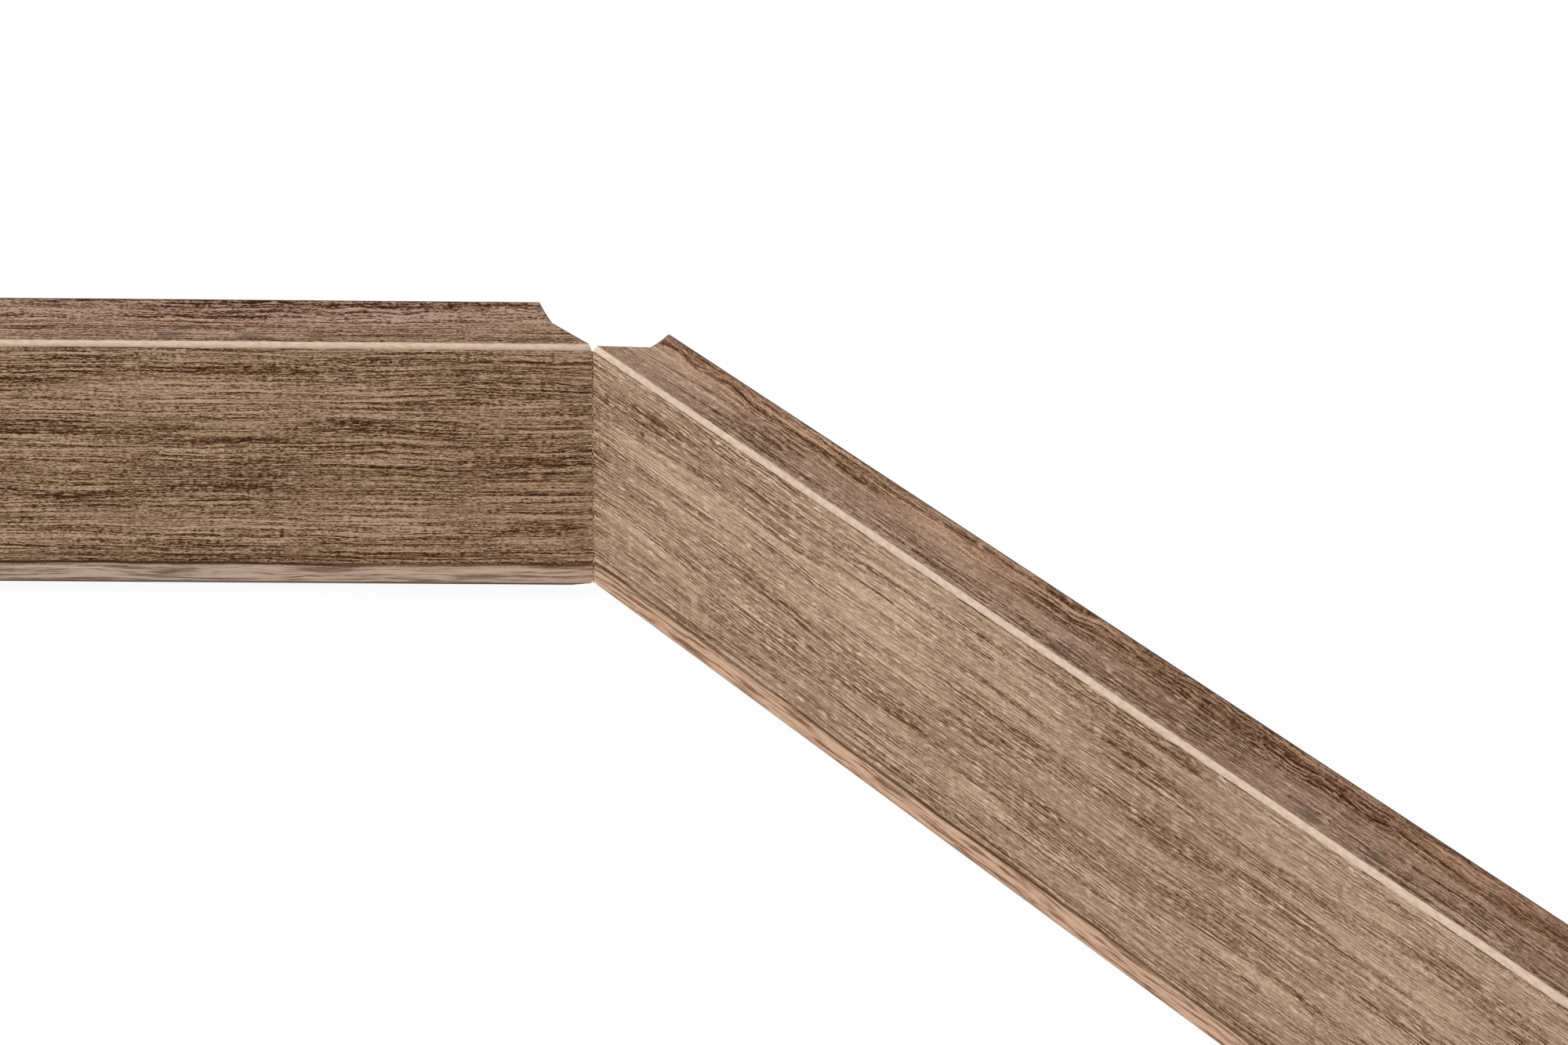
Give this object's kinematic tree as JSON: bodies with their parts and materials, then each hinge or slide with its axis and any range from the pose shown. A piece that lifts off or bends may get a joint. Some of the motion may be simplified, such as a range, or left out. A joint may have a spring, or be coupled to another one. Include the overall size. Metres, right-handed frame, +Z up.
{
  "type": "skirting board",
  "caption": "Wood-decor skirting board with a stepped, lipped top, mitre-notched from behind and folded forward at its uncut foil.",
  "frame": {"origin": "on the floor, under the middle of the folded board's bounding box; the fold line stands at x 79.0 mm, y 556.4 mm", "axes": "+X runs along the left length from its square end to the fold; +Y points from the room to the wall behind the left length; +Z is up"},
  "size_m": [1.842, 1.1408, 0.08],
  "materials": {
    "wood_decor_board": "satin"
  },
  "bodies": {
    "left_part": {"left_length": "wood_decor_board"},
    "right_part": {"right_length": "wood_decor_board"}
  },
  "joints": [
    {"name": "foil_fold", "type": "hinge", "parent": "left_part", "child": "right_part", "pos_m": [0.07897, 0.55643, 0.04], "axis": [0, 0, 1], "range_deg": [-36.4, 143.6]}
  ]
}
